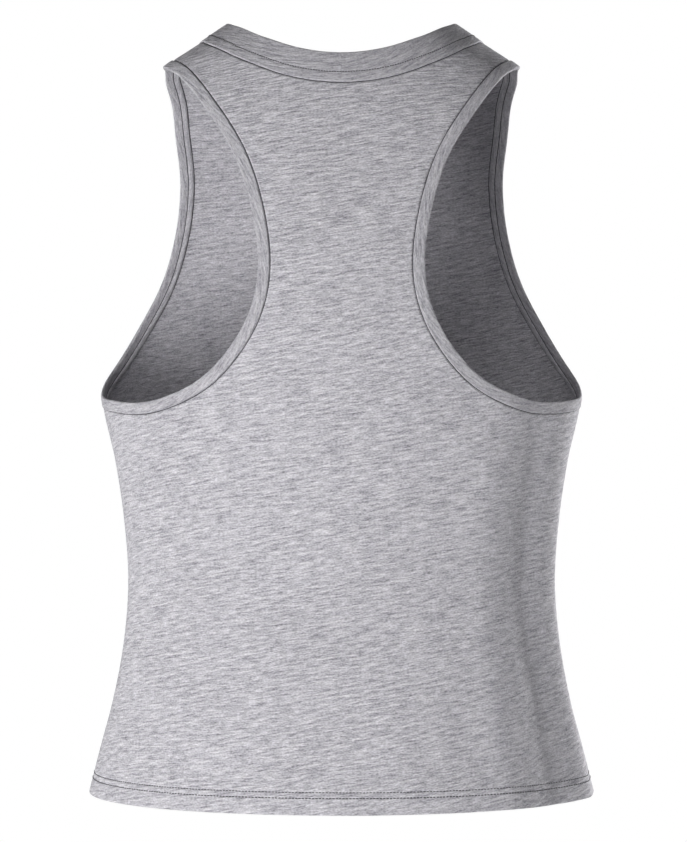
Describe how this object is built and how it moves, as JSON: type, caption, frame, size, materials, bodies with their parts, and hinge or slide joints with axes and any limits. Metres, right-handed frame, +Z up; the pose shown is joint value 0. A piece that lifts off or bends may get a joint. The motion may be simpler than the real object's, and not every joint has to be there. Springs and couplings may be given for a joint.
{
  "type": "tank top",
  "caption": "Short racerback tank top in heather-grey jersey, filled out as worn, with a folded neckband, folded armhole bands and a turned-up hem.",
  "frame": {"origin": "midway between the two shoulder straps, at the straps' mid height, where the wearer's shoulders carry the top", "axes": "+Z up, -Y out of the wearer's chest (the garment's front), +Y out of the back, +X to the wearer's left"},
  "size_m": [0.3324, 0.2252, 0.5049],
  "materials": {
    "jersey": "matt heather-grey single jersey with short slanting streaks",
    "band_jersey": "the same jersey folded double, with its streaks running along the band",
    "thread": "matt polyester sewing thread, charcoal"
  },
  "bodies": {
    "root": {"back_panel": "jersey", "front_panel": "jersey", "neckband": "band_jersey", "armhole_band_left": "band_jersey", "armhole_band_right": "band_jersey"}
  },
  "joints": []
}
